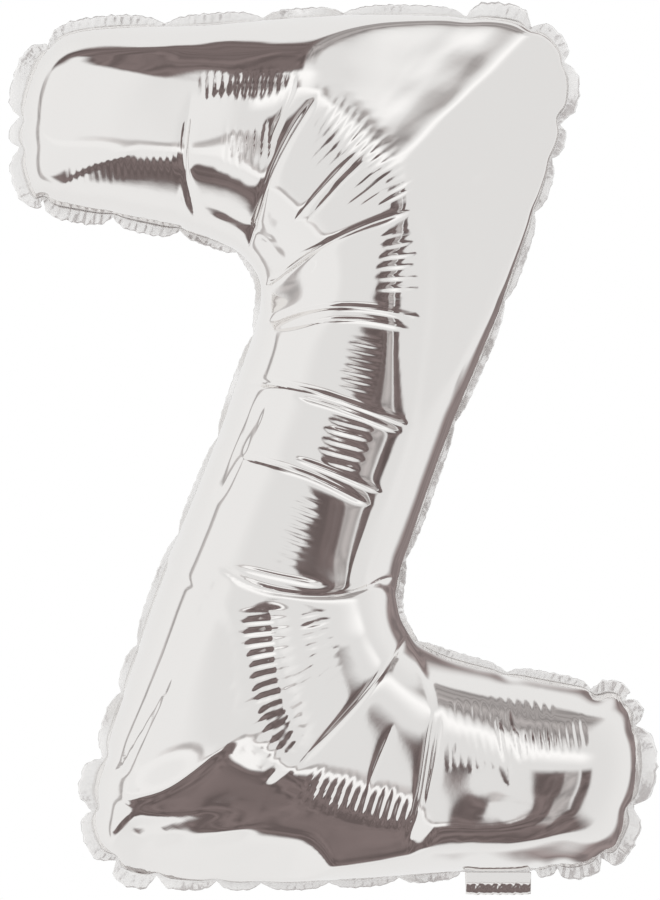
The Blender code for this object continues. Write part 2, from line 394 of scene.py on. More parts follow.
@dataclass(frozen=True)
class Facet:
    """A flat run of film; sizes in millimetres.

    It passes through a mark at a height over the seam plane and falls in one direction by a slope in
    degrees. Past its two side limits, left and right of the way it falls, it curls up and lets go of the
    film, and it ends beyond the seam. It may also be hollow: past a distance along another direction it
    bends up for a short run and goes on straight.
    """

    HOLLOW_RUN: ClassVar[float] = 14.0
    PAST_SEAM: ClassVar[float] = 25.0
    NO_CUT: ClassVar[float] = 1000.0

    mark: Mark
    height: float
    fall: tuple[float, float]
    slope: float
    left: float
    right: float
    curl: float = 0.04
    soft: float = 0.7
    hollow: tuple[float, float] = (0.0, 1.0)
    hollow_from: float = 200.0
    hollow_curl: float = 0.0

    def carve(self, heights: np.ndarray, at: np.ndarray) -> np.ndarray:
        """Cut the heights down to the flat run.

        The flat run is height − the way down the fall × the slope's tangent + curl × the square of what lies
        past a side limit, and where it is hollow + its curl × the square of the bent run, then straight on.

        Args:
            heights: the film's height at each place.
            at: x and z in millimetres, one a row.

        Returns:
            The smooth minimum of the two.
        """
        down, left = ahead_and_left(at, self.mark, self.fall)
        tangent = math.tan(math.radians(self.slope))
        plane = self.height - down * tangent
        plane += self.curl * np.maximum(left - self.left, 0) ** 2
        plane += self.curl * np.maximum(-left - self.right, 0) ** 2
        bent = np.maximum(ahead_and_left(at, self.mark, self.hollow)[0] - self.hollow_from, 0)
        curved = np.minimum(bent, self.HOLLOW_RUN)
        plane += self.hollow_curl * curved * (2 * bent - curved)
        plane = np.where(down > self.height / tangent + self.PAST_SEAM, self.NO_CUT, plane)
        return smooth_minimum(heights, plane, self.soft)


@dataclass(frozen=True)
class Bevel:
    """A steep even slope that rises from a line of the seam; sizes in millimetres."""

    marks: tuple[Mark, ...]
    foot: float
    slope: float
    soft: float
    let_go: float

    def carve(self, heights: np.ndarray, at: np.ndarray) -> np.ndarray:
        """Cut the heights down to the slope.

        The slope is foot + distance from the line × the slope's tangent. Past both ends of the line the cut
        fades out over the let-go length.

        Args:
            heights: the film's height at each place.
            at: x and z in millimetres, one a row.

        Returns:
            The smooth minimum of the two.
        """
        line = rounded_line(self.marks)
        distance, _ = nearest_on_line(at, line)
        slope = self.foot + np.abs(distance) * math.tan(math.radians(self.slope))
        held = np.ones(len(at))
        for end, inner in ((line[0], line[2]), (line[-1], line[-3])):
            out = (end - inner) / np.hypot(*(end - inner))
            held *= 1 - smooth_step((at - end) @ out, 0.0, self.let_go)
        return heights + (smooth_minimum(heights, slope, self.soft) - heights) * held


@dataclass(frozen=True)
class Swell:
    """A soft bulge of the film, longer one way than the other; sizes in millimetres."""

    mark: Mark
    long_way: tuple[float, float]
    length: float
    width: float
    height: float

    def lift(self, at: np.ndarray) -> np.ndarray:
        """Outward distance at each place: height × e^(−(a/length)² − (b/width)²).

        Args:
            at: x and z in millimetres, one a row.

        Returns:
            Millimetres outwards.
        """
        a, b = ahead_and_left(at, self.mark, self.long_way)
        return self.height * np.exp(-((a / self.length) ** 2) - (b / self.width) ** 2)


@dataclass(frozen=True)
class Crumple:
    """Irregular shallow creasing, in an oval patch or, without a reach, everywhere; sizes in millimetres."""

    WAVES: ClassVar[int] = 12
    SHARPNESS: ClassVar[float] = 1.3
    FULL_SHARE: ClassVar[float] = 0.45
    USUAL_SUM: ClassVar[float] = 3.0

    height: float
    short_wave: float
    long_wave: float
    seed: int
    way: tuple[float, float] = (1.0, 0.0)
    stretch: float = 1.0
    mark: Mark = VIEW_MIDDLE
    reach: tuple[float, float] | None = None

    def drop(self, at: np.ndarray) -> np.ndarray:
        """Inward distance at each place.

        Plane waves with sharp troughs are added, each in a random direction, of a random wavelength between
        the short and the long one, and as high as it is long. Their pattern is drawn out along one way by
        the stretch, and it fades out towards the edge of the patch.

        Args:
            at: x and z in millimetres, one a row.

        Returns:
            Millimetres inwards.
        """
        rng = np.random.default_rng(self.seed)
        a, b = ahead_and_left(at, self.mark, self.way)
        total = np.zeros(len(at))
        for _ in range(self.WAVES):
            wave = rng.uniform(self.short_wave, self.long_wave)
            turn, start = rng.uniform(0, 2 * np.pi, 2)
            phase = 2 * np.pi / wave * (a / self.stretch * np.cos(turn) + b * np.sin(turn)) + start
            total += wave / self.long_wave * (1 - 2 * np.abs(np.sin(phase / 2)) ** self.SHARPNESS)
        if self.reach:
            total *= 1 - smooth_step(np.hypot(a / self.reach[0], b / self.reach[1]), self.FULL_SHARE, 1.0)
        return self.height * total / self.USUAL_SUM


@dataclass
class SeamPlan:
    """The letter's seam, in millimetres.

    Each station is a pair of points across the stroke, x and z on its inner side and then on its outer side,
    from the upper end to the letter's middle. The lower half is the upper one turned half round.
    """

    stations: tuple[tuple[float, float, float, float], ...] = (
        (-117.4, 98.6, -113.6, 161.6),
        (-107.0, 96.6, -103.8, 167.0),
        (-87.8, 93.2, -85.8, 168.8),
        (-69.8, 89.6, -67.8, 169.0),
        (-53.0, 85.6, -53.8, 169.0),
        (-42.2, 82.0, -31.8, 171.0),
        (-33.4, 76.4, -1.8, 173.2),
        (-30.2, 72.4, 28.2, 173.8),
        (-28.6, 69.6, 60.0, 172.6),
        (-27.6, 67.2, 85.0, 170.4),
        (-27.0, 64.8, 98.6, 150.0),
        (-26.8, 62.0, 90.2, 120.0),
        (-27.2, 56.8, 79.0, 85.6),
        (-28.6, 49.6, 67.2, 51.2),
        (-31.2, 41.2, 59.8, 34.0),
        (-34.6, 31.6, 48.6, 8.2),
        (-40.2, 15.4, 40.2, -15.4),
    )
    along_count: int = 860
    across_count: int = 56
    end_columns: int = 12
    end_run: float = 2.0
    end_bulge: float = 8.5
    end_reach: float = 26.0
    end_fullness: float = 0.8
    fine_count: int = 6000
    end_way: int = 120

    def sides(self) -> tuple[np.ndarray, np.ndarray]:
        """Control points of the seam's two sides, from the upper end to the lower."""
        upper = np.array(self.stations, float)
        inner, outer = upper[:, :2], upper[:, 2:]
        return np.vstack([inner, -outer[-2::-1]]), np.vstack([outer, -inner[-2::-1]])

    def grid(self) -> np.ndarray:
        """Places of the film's grid in the seam plane.

        Columns run along the stroke at even lengths of its middle line, closer at both ends. Rows run across
        it on a cosine, so that they crowd towards the seam, where the film stands upright. The ends bow out
        by a power of a sine of the place across, less and less along the stroke.

        Returns:
            x and z by column and row.
        """
        inner, outer = self.sides()
        fine = np.linspace(0, len(inner) - 1, self.fine_count)
        middle = (blend_curve(inner, fine) + blend_curve(outer, fine)) / 2
        walked = lengths_along(middle)
        start = self.end_run * (1 - np.cos(np.linspace(0, np.pi / 2, self.end_columns)))
        half_count = self.along_count // 2 - self.end_columns + 1
        step = (walked[-1] / 2 - start[-1]) / half_count
        half = np.concatenate([start, start[-1] + step * np.arange(1, half_count + 1)])
        lengths = np.concatenate([half, walked[-1] - half[-2::-1]])
        at = np.interp(lengths, walked, fine)
        share = 0.5 - 0.5 * np.cos(np.linspace(0, np.pi, self.across_count + 1))
        across = share[None, :, None]
        places = blend_curve(inner, at)[:, None] * (1 - across) + blend_curve(outer, at)[:, None] * across
        bow = np.sin(np.pi * share) ** self.end_fullness
        for away, end, within in (
            (lengths, middle[0], middle[self.end_way]),
            (lengths[-1] - lengths, middle[-1], middle[-1 - self.end_way]),
        ):
            out = (end - within) / np.hypot(*(end - within))
            fade = np.exp(-away / self.end_reach)
            places += self.end_bulge * fade[:, None, None] * bow[None, :, None] * out
        return places


@dataclass
class BlownShape:
    """Height of the blown film over the seam plane."""

    rounds: int = 900

    def heights(self, places: np.ndarray) -> np.ndarray:
        """Height of a film blown up from the grid.

        A field is worked out whose curvature is one everywhere and which is zero on the seam (Poisson's
        equation, with cotangent weights, by conjugate gradients). The height is the square root of twice the
        field, which is a circle's arc over a straight stroke and rounds off at the ends and corners.

        Args:
            places: x and z by column and row.

        Returns:
            Heights in millimetres by column and row.
        """
        columns, rows = places.shape[:2]
        quads = grid_quads(np.arange(columns * rows).reshape(columns, rows))
        triangles = np.vstack([quads[:, [0, 1, 2]], quads[:, [0, 2, 3]]])
        flat = places.reshape(-1, 2)
        total = np.zeros(len(flat))
        pairs, weights = [], []
        for k in range(3):
            i, j, o = triangles[:, k], triangles[:, (k + 1) % 3], triangles[:, (k + 2) % 3]
            u, v = flat[i] - flat[o], flat[j] - flat[o]
            twice = np.abs(u[:, 0] * v[:, 1] - u[:, 1] * v[:, 0])
            pairs.append(np.column_stack([i, j]))
            weights.append(0.5 * (u * v).sum(1) / np.maximum(twice, TINY))
            total += np.bincount(o, twice / 6, len(flat))
        i, j = np.vstack(pairs).T
        weight = np.concatenate(weights)
        inner = np.zeros((columns, rows), bool)
        inner[1:-1, 1:-1] = True
        free = inner.ravel()
        diagonal = np.bincount(i, weight, len(flat)) + np.bincount(j, weight, len(flat))
        diagonal = np.where(free, np.maximum(diagonal, TINY), 1.0)
        field = np.zeros(len(flat))
        left = np.where(free, total, 0.0)
        ahead = left / diagonal
        strength = (left * ahead).sum()
        for _ in range(self.rounds):
            flow = weight * (ahead[i] - ahead[j])
            pull = np.where(free, np.bincount(i, flow, len(flat)) - np.bincount(j, flow, len(flat)), 0.0)
            step = strength / max((ahead * pull).sum(), TINY)
            field += step * ahead
            left -= step * pull
            scaled = left / diagonal
            next_strength = (left * scaled).sum()
            ahead = scaled + next_strength / max(strength, TINY) * ahead
            strength = next_strength
        LOG.info("blown shape: what is left over is %.2e", float(np.abs(left).max()))
        return np.sqrt(np.maximum(2 * field, 0.0)).reshape(columns, rows)


@dataclass
class FilmFolds:
    """Every fold, wrinkle and proud patch of one film; marks in pixels, sizes in millimetres."""

    cuffs: tuple[Cuff, ...] = (
        # the gathered band that runs from the upper fillet to the lower one
        Cuff(
            (
                (196, 96), (250, 84), (322, 86), (374, 126), (396, 172), (408, 214), (433, 232),
                (431, 312), (414, 428), (396, 488), (352, 590), (392, 580), (410, 640), (440, 704),
                (428, 800), (414, 834), (312, 806), (282, 776), (248, 725), (237, 665), (238, 612),
                (150, 560), (120, 500), (160, 378), (200, 318), (190, 270), (180, 250), (178, 230),
                (186, 150),
            ),
            1.0,
            2.2,
        ),
    )
    facets: tuple[Facet, ...] = (
        # the right-hand flat of the slanting stroke, below the upper right corner
        Facet((415, 145), 40.0, (1.0, 0.0), 31.7, 60.0, 8.0, 0.02),
        Facet((413, 205), 41.0, (0.99, -0.145), 33.0, 30.0, 90.0, 0.01),
        # the top of that corner, on the other side of the same ridge, hollow away from the ridge
        Facet((415, 145), 40.5, (0.0, 1.0), 31.0, 12.0, 90.0, 0.006, 1.2, (-0.65, 0.76), 2.0, 0.0125),
        # the underside of the lower left corner
        Facet((250, 764), 42.0, (-0.25, -0.97), 28.0, 68.0, 47.0, 0.08, 1.8),
        Facet((200, 820), 28.8, (-0.2, -0.98), 45.0, 38.0, 20.0, 0.02),
    )
    bevels: tuple[Bevel, ...] = (
        # the steep inner side of the bend, round the upper fillet
        Bevel(((60, 204), (120, 220), (190, 238), (228, 258), (250, 284)), 10.0, 46.0, 2.2, 60.0),
    )
    swells: tuple[Swell, ...] = (
        # full shoulder under the top edge of the upper right corner
        Swell((395, 62), (1.0, 0.08), 34.0, 11.0, 4.5),
        # fuller middle of the gathered part of the top bar
        Swell((248, 118), (1.0, 0.08), 19.0, 13.0, 4.0),
        # level crown of the lower bar
        Swell((590, 772), (1.0, 0.0), 34.0, 26.0, 6.5),
        # full shoulder above the bottom edge of the lower bar
        Swell((490, 838), (1.0, 0.06), 44.0, 11.0, 4.0),
    )
    creases: tuple[Crease, ...] = (
        Crease(((193, 92), (184, 150), (188, 190), (197, 225)), 1.1, 1.2),
        Crease(((188, 110), (180, 160), (190, 205)), 0.8),
        Crease(((296, 80), (283, 115), (270, 142)), 1.1, 1.3),
        Crease(((326, 88), (297, 127), (264, 190), (246, 256)), 2.2, 1.7),
        Crease(((292, 226), (318, 194), (352, 160)), 1.0, 1.2),
        Crease(((308, 222), (344, 180), (380, 152)), 0.9, 1.2),
        Crease(((262, 288), (296, 262), (327, 244), (366, 226), (408, 213)), 2.0, 1.6, 0.1),
        Crease(((264, 326), (300, 309), (360, 306), (420, 318)), 1.8, 1.4, 0.1),
        Crease(((276, 332), (330, 318), (380, 322), (416, 332)), 1.3, 1.3),
        Crease(((244, 382), (300, 386), (352, 405), (412, 426)), 1.9, 1.5, 0.1),
        Crease(((290, 394), (340, 408), (404, 434)), 1.5, 1.3),
        Crease(((240, 456), (299, 470), (340, 490), (368, 505)), 1.8, 1.5, 0.1),
        Crease(((288, 456), (330, 470), (384, 494)), 1.5, 1.3),
        Crease(((219, 562), (238, 579), (272, 592), (314, 596), (350, 595), (396, 577)), 2.2, 1.6, 0.08),
        Crease(((230, 564), (266, 574), (310, 582), (328, 588)), 1.4, 1.3),
        Crease(((410, 634), (376, 682), (332, 730), (296, 765)), 1.6, 1.4, 0.1),
        Crease(((392, 726), (380, 752), (368, 784)), 0.7, 1.2),
        Crease(((434, 706), (426, 760), (418, 816), (404, 846)), 1.8, 1.5),
        Crease(((442, 708), (434, 760), (424, 806)), 1.2, 1.2),
        Crease(((494, 708), (502, 744), (512, 786)), 1.0, 1.3),
        Crease(((504, 706), (516, 744), (522, 764)), 0.7, 1.2),
        # the hollow beside the ribbed patch at the lower left
        Crease(((270, 596), (276, 660), (290, 716), (304, 760)), 3.4, 7.5, 0.12),
        # long straight folds on the smooth left side of the slanting stroke
        Crease(((272, 388), (244, 446), (216, 506)), 1.5, 1.2),
        Crease(((224, 574), (170, 672), (113, 780)), 2.1, 2.4, 0.05),
        Crease(((384, 506), (366, 548), (350, 594)), 0.9, 0.9),
        # pale line that follows the upper fillet
        Crease(((200, 199), (246, 220), (268, 238), (287, 266)), 0.8, 1.1),
        # soft hollow across the right-hand flat, and the faint folds that run down it
        Crease(((548, 105), (490, 158), (430, 215)), 0.7, 6.0),
        Crease(((500, 225), (470, 292), (440, 400)), 0.5, 2.6),
        Crease(((524, 236), (480, 330), (452, 404)), 0.6, 1.8),
        # hollow star and ridges of the lower left corner
        Crease(((226, 676), (227, 712), (226, 740)), 1.0, 1.5),
        Crease(((232, 736), (202, 764), (156, 800), (112, 796)), -1.8, 4.0, 0.15),
        Crease(((230, 738), (252, 756), (284, 776)), 1.4, 2.6),
        Crease(((118, 800), (132, 826), (160, 846)), 0.9, 1.8),
        # ridges that run in from the corners
        Crease(((56, 52), (110, 48), (180, 50)), -0.6, 2.5),
        Crease(((48, 192), (80, 168), (140, 150)), -0.6, 2.5),
    )
    combs: tuple[Comb, ...] = (
        Comb(((198, 90), (300, 88)), 6.0, 2.95, 0.62, 3),
        Comb(((222, 146), (278, 148)), 9.0, 3.0, 0.42, 5),
        Comb(((60, 172), (110, 168), (182, 160)), 6.0, 2.6, 0.1, 7),
        Comb(((322, 112), (366, 144), (384, 176), (396, 206)), 7.5, 2.9, 0.55, 11),
        Comb(((316, 140), (348, 172), (372, 208)), 13.0, 3.4, 0.3, 13),
        Comb(((397, 228), (398, 302)), 7.5, 4.3, 0.8, 17),
        Comb(((366, 334), (352, 398)), 9.0, 2.9, 0.3, 19),
        Comb(((352, 418), (338, 474)), 11.0, 4.2, 0.8, 23),
        Comb(((308, 492), (276, 570)), 8.0, 3.0, 0.35, 29),
        Comb(((262, 604), (266, 670), (296, 760)), 13.0, 4.15, 0.8, 31),
        Comb(((308, 608), (326, 716)), 6.5, 4.15, 0.7, 37),
        Comb(((304, 782), (352, 796), (418, 814)), 8.5, 3.3, 0.6, 41),
        Comb(((444, 716), (500, 712), (560, 706)), 7.0, 3.4, 0.25, 43),
        Comb(((444, 752), (500, 748), (590, 734)), 7.0, 3.0, 0.45, 47),
    )
    crumples: tuple[Crumple, ...] = (
        Crumple(0.1, 14.0, 44.0, 53),
        # the crumpled underside of the lower left corner and of the lower bar
        Crumple(0.5, 7.0, 16.0, 59, (1.0, 0.12), 3.2, (205, 820), (46.0, 11.0)),
        Crumple(0.5, 8.0, 18.0, 61, (1.0, 0.05), 3.0, (500, 822), (46.0, 18.0)),
        # the upper bar's shoulder and the corner above the bend
        Crumple(0.3, 8.0, 20.0, 67, (1.0, 0.03), 3.0, (200, 60), (60.0, 12.0)),
        Crumple(0.3, 8.0, 24.0, 71, (0.7, 0.7), 2.0, (440, 80), (40.0, 18.0)),
    )
    swell_free: float = 18.0

    def carve(self, heights: np.ndarray, at: np.ndarray) -> np.ndarray:
        """The heights with every soft bulge added, less of it near the seam, and every flat run cut in."""
        held = smooth_step(heights, 0.0, self.swell_free)
        for swell in self.swells:
            heights = heights + held * swell.lift(at)
        for cut in (*self.facets, *self.bevels):
            heights = cut.carve(heights, at)
        return np.maximum(heights, 0.0)

    def drop(self, at: np.ndarray) -> np.ndarray:
        """Inward distance at each place, all folds together."""
        folds = (*self.cuffs, *self.creases, *self.combs, *self.crumples)
        return sum(fold.drop(at) for fold in folds)


@dataclass(frozen=True)
class Notch:
    """A place where the seam is gathered, between two lobes of the rim; sizes in millimetres."""

    mark: Mark
    pull: float
    half_width: float
    rim_after: float

    def nearest(self, loop: np.ndarray) -> int:
        """Number of the loop's point nearest the mark, which is read at the seam plane."""
        spot = (np.array(self.mark) - VIEW_MIDDLE) * (PIXEL_MM, -PIXEL_MM)
        return int(((loop - spot) ** 2).sum(1).argmin())


@dataclass
class SealedRim:
    """The heat-sealed border outside the seam, with its lobes, as one band."""

    notches: tuple[Notch, ...] = (
        # clockwise from the upper left corner; rim_after is the width of the lobe that follows
        Notch((50, 49), 2.4, 4.0, 4.6),
        Notch((165, 25), 0.6, 5.0, 4.2),
        Notch((262, 25), 0.5, 5.0, 3.6),
        Notch((345, 22), 0.3, 5.0, 3.8),
        Notch((466, 22), 1.2, 4.0, 6.4),
        Notch((530, 28), 2.0, 3.5, 4.6),
        Notch((570, 62), 1.2, 3.5, 5.0),
        Notch((572, 122), 2.4, 4.0, 3.6),
        Notch((552, 160), 0.8, 4.0, 3.4),
        Notch((538, 212), 0.6, 4.0, 3.0),
        Notch((500, 300), 0.3, 4.0, 2.6),
        Notch((452, 420), 0.3, 4.0, 2.4),
        Notch((408, 560), 0.3, 4.0, 2.6),
        Notch((424, 634), 0.5, 4.0, 3.0),
        Notch((508, 664), 0.8, 4.0, 3.4),
        Notch((598, 682), 2.2, 3.5, 5.2),
        Notch((624, 700), 2.0, 3.0, 5.0),
        Notch((632, 728), 1.4, 3.0, 7.0),
        Notch((636, 810), 2.4, 3.5, 6.0),
        Notch((602, 858), 2.0, 3.5, 5.4),
        Notch((556, 878), 1.6, 4.0, 3.8),
        Notch((532, 884), 1.0, 2.5, 2.2),
        Notch((466, 884), 1.0, 2.5, 3.4),
        Notch((400, 880), 0.4, 5.0, 3.4),
        Notch((330, 880), 0.3, 5.0, 3.4),
        Notch((262, 878), 0.6, 5.0, 3.6),
        Notch((216, 878), 1.0, 4.0, 4.4),
        Notch((158, 872), 2.0, 3.5, 6.2),
        Notch((116, 858), 2.6, 3.5, 5.2),
        Notch((86, 806), 2.4, 3.5, 6.4),
        Notch((92, 752), 2.0, 4.0, 4.0),
        Notch((110, 690), 0.6, 4.0, 3.2),
        Notch((124, 640), 0.5, 4.0, 2.8),
        Notch((166, 530), 0.3, 4.0, 2.6),
        Notch((206, 432), 0.3, 4.0, 2.6),
        Notch((240, 330), 0.3, 4.0, 2.8),
        Notch((230, 262), 0.5, 4.0, 3.2),
        Notch((178, 236), 0.8, 4.0, 4.6),
        Notch((112, 220), 0.8, 4.0, 5.4),
        Notch((44, 198), 2.6, 3.5, 5.6),
        Notch((17, 150), 1.8, 3.0, 4.6),
        Notch((17, 120), 1.6, 3.0, 6.4),
    )
    rows: int = 6
    thickness: float = 0.2
    gather_depth: float = 10.0
    # a lobe keeps this share of its width at a notch, and is fuller in its middle by the power
    lobe_foot: float = 0.3
    lobe_power: float = 3.5
    # small scallops of the free edge: length, share of the width and start of two sines
    scallops: tuple[tuple[float, float, float], ...] = ((5.3, 0.05, 0.0), (3.1, 0.04, 1.0))
    # to-and-fro wave, one bend for about each ruffle_run, of which each lobe has its own share
    ruffle: float = 1.1
    ruffle_mean: float = 0.6
    ruffle_spread: float = 0.4
    ruffle_run: float = 13.0
    ruffle_power: float = 1.5
    seed: int = 19
    # crimped grain: height, length and share of two sines, slant from row to row, and turn over the rows
    crimp: float = 0.25
    crimp_lengths: tuple[float, float] = (3.3, 2.1)
    crimp_second: float = 0.7
    crimp_slant: float = 2.0
    crimp_turn: float = 2.4
    # a lobe is crimped from the first width on, fully at the second, and never less than the least share
    crimp_widths: tuple[float, float] = (2.6, 5.6)
    crimp_least: float = 0.15
    # the rim lies flat where the tail leaves it: middle, and where the flat run begins to end and has ended
    tail_at: float = 67.6
    tail_span: tuple[float, float] = (15.0, 22.0)
    inward_points: int = 5

    def gather(self, places: np.ndarray) -> np.ndarray:
        """Draw the seam, and the film next to it, inwards at each notch.

        The shift is pull × a bell curve of the distance along the seam × e to the minus distance from it
        over the gather's depth.

        Args:
            places: x and z by column and row.

        Returns:
            The places after the shift.
        """
        moved = places.copy()
        loop = seam_loop(places)
        inward = loop_inward(loop)
        for notch in self.notches:
            k = notch.nearest(loop)
            into = inward[k]
            offset = places - loop[k]
            aside = offset @ np.array([-into[1], into[0]])
            near = np.exp(-((aside / notch.half_width) ** 2) - np.abs(offset @ into) / self.gather_depth)
            moved += (notch.pull * near)[..., None] * into
        return moved

    def build(self, loop: np.ndarray, material: bpy.types.Material) -> bpy.types.Object:
        """Carry the band round the seam.

        Its width between two notches is the lobe's width × (foot + (1 − foot) × (1 − |2t − 1|^power)), t
        going from 0 to 1 along the lobe. It waves to and fro by the ruffle times a sine, more towards its
        free edge, and the crimp is two sines along it on top of that.

        Args:
            loop: the seam's x and z in millimetres, anticlockwise.
            material: its finish.

        Returns:
            The band.
        """
        around = lengths_along(np.vstack([loop, loop[:1]]))
        along, total = around[:-1], around[-1]
        anchors = np.array([along[notch.nearest(loop)] for notch in self.notches])
        order = np.argsort(anchors)
        anchor = anchors[order]
        # the notches are listed clockwise, so the lobe that follows one of them here is the next one's
        width = np.roll(np.array([notch.rim_after for notch in self.notches])[order], -1)
        lobe = (np.searchsorted(anchor, along, side="right") - 1) % len(anchor)
        run = (np.roll(anchor, -1) - anchor) % total
        share = ((along - anchor[lobe]) % total) / run[lobe]

        lobed = self.lobe_foot + (1 - self.lobe_foot) * (1 - np.abs(2 * share - 1) ** self.lobe_power)
        small = 1 + sum(
            part * np.sin(2 * np.pi * along / length + start) for length, part, start in self.scallops
        )
        reach = width[lobe] * lobed * small

        turn = np.random.default_rng(self.seed).uniform(0, 2 * np.pi, len(anchor))[lobe]
        bends = np.maximum(np.round(run / self.ruffle_run), 1)[lobe]
        wave = np.sin(np.pi * bends * share) * np.where(np.cos(turn) > 0, 1, -1)
        wave = wave * (self.ruffle_mean + self.ruffle_spread * np.sin(turn))
        narrow, wide = self.crimp_widths
        gathered = np.clip((width - narrow) / (wide - narrow), self.crimp_least, 1.0)[lobe]
        beside_tail = smooth_step(np.abs(loop[:, 0] - self.tail_at), *self.tail_span)
        flat = np.where(loop[:, 1] < 0, beside_tail, 1.0)

        row = np.linspace(0, 1, self.rows + 1)[:, None]
        first, second = (2 * np.pi * along / length for length in self.crimp_lengths)
        fine = np.sin(first + self.crimp_slant * row + turn) + self.crimp_second * np.sin(second)
        crimped = self.crimp * gathered * fine * np.sin(row * self.crimp_turn)
        spot = loop - loop_inward(loop, self.inward_points) * (reach * row)[..., None]
        aside = (self.ruffle * wave * row**self.ruffle_power + crimped) * flat
        points = np.stack([spot[..., 0], aside, spot[..., 1]], -1)
        number = np.arange(points.size // 3).reshape(points.shape[:2])
        quads = grid_quads(np.column_stack([number, number[:, 0]]))[:, ::-1]
        obj = make_object("sealed_rim", points.reshape(-1, 3), quads, material)
        give_wall(obj, self.thickness)
        return obj


def seam_loop(places: np.ndarray) -> np.ndarray:
    """The grid's border as one closed loop of x and z, anticlockwise as seen from the front."""
    return np.concatenate([places[:, 0], places[-1, 1:], places[-2::-1, -1], places[0, -2:0:-1]])


def loop_inward(loop: np.ndarray, smooth: int = 2) -> np.ndarray:
    """Unit directions into the letter along an anticlockwise loop, averaged over some neighbours."""
    ahead = np.roll(loop, -smooth, 0) - np.roll(loop, smooth, 0)
    ahead /= np.maximum(np.hypot(ahead[:, 0], ahead[:, 1]), TINY)[:, None]
    return np.column_stack([-ahead[:, 1], ahead[:, 0]])


@dataclass
class LetterBalloon:
    """The blown letter: two films that meet at the seam, as one closed skin, and the sealed rim round it."""

    plan: SeamPlan
    shape: BlownShape
    folds: FilmFolds
    rim: SealedRim
    # the film stretches no higher than the limit, and the power says how suddenly that begins
    crown_limit: float = 45.0
    crown_power: int = 8
    # along the slanting stroke the film is lower on the right and higher on the left by this share
    lean: float = 0.1
    lean_begins: tuple[float, float] = (0.3, 0.42)
    lean_ends: tuple[float, float] = (0.58, 0.7)
    fold_free: float = 9.0

    def slant_share(self, shape: tuple[int, int]) -> np.ndarray:
        """Place across the stroke, −1 on the left to 1 on the right, faded out along the two bars."""
        across = -np.cos(np.linspace(0, np.pi, shape[1]))
        along = np.linspace(0, 1, shape[0])
        slanting = smooth_step(along, *self.lean_begins) * (1 - smooth_step(along, *self.lean_ends))
        return slanting[:, None] * across[None, :]

    def surface(self, places: np.ndarray, heights: np.ndarray, side: Side) -> np.ndarray:
        """One film's points.

        The smooth film stands heights out from the seam plane. The folds then move it along its own normal,
        less and less where it stands less than fold_free out. The back film has the front's folds turned
        half round.

        Args:
            places: x and z by column and row.
            heights: millimetres by column and row.
            side: which film.

        Returns:
            x, y and z by column and row.
        """
        at = (places if side is Side.FRONT else -places).reshape(-1, 2)
        heights = self.folds.carve(heights.ravel(), at).reshape(heights.shape)
        base = np.stack([places[..., 0], side.value * heights, places[..., 1]], -1)
        normal = np.cross(np.gradient(base, axis=0), np.gradient(base, axis=1))
        normal /= np.maximum(np.linalg.norm(normal, axis=-1), TINY)[..., None]
        normal *= np.where((normal[..., 1] * side.value)[..., None] < 0, -1.0, 1.0)
        drop = self.folds.drop(at).reshape(heights.shape)
        drop *= smooth_step(heights, 0.0, self.fold_free)
        return base - normal * drop[..., None]

    def build(self, foil: bpy.types.Material, sealed: bpy.types.Material) -> list[bpy.types.Object]:
        """Make the skin and the rim.

        Args:
            foil: the skin's finish.
            sealed: the rim's finish.

        Returns:
            The two pieces.
        """
        places = self.rim.gather(self.plan.grid())
        heights = self.shape.heights(places)
        heights = heights / (1 + (heights / self.crown_limit) ** self.crown_power) ** (1 / self.crown_power)
        heights *= 1 - self.lean * self.slant_share(heights.shape)
        LOG.info("crown stands %.1f mm out", heights.max())
        front = self.surface(places, heights, Side.FRONT)
        back = self.surface(places, heights, Side.BACK)
        front[[0, -1], :, 1] = 0
        front[:, [0, -1], 1] = 0
        points = np.vstack([front.reshape(-1, 3), back[1:-1, 1:-1].reshape(-1, 3)])

        # the back film shares the front's seam points and has its own inner ones
        front_number = np.arange(heights.size).reshape(heights.shape)
        back_number = front_number.copy()
        own = back_number[1:-1, 1:-1]
        own[:] = heights.size + np.arange(own.size).reshape(own.shape)
        quads = np.vstack([grid_quads(front_number), grid_quads(back_number)[:, ::-1]])
        skin = make_object("blown_skin", points, quads, foil)
        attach(skin, "root")
        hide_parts("front_film", "back_film")
        rim = self.rim.build(seam_loop(places), sealed)
        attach(rim, "root")
        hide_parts("seam_flange")
        LOG.info("skin: %d faces, rim: %d faces", len(skin.data.polygons), len(rim.data.polygons))
        return [skin, rim]


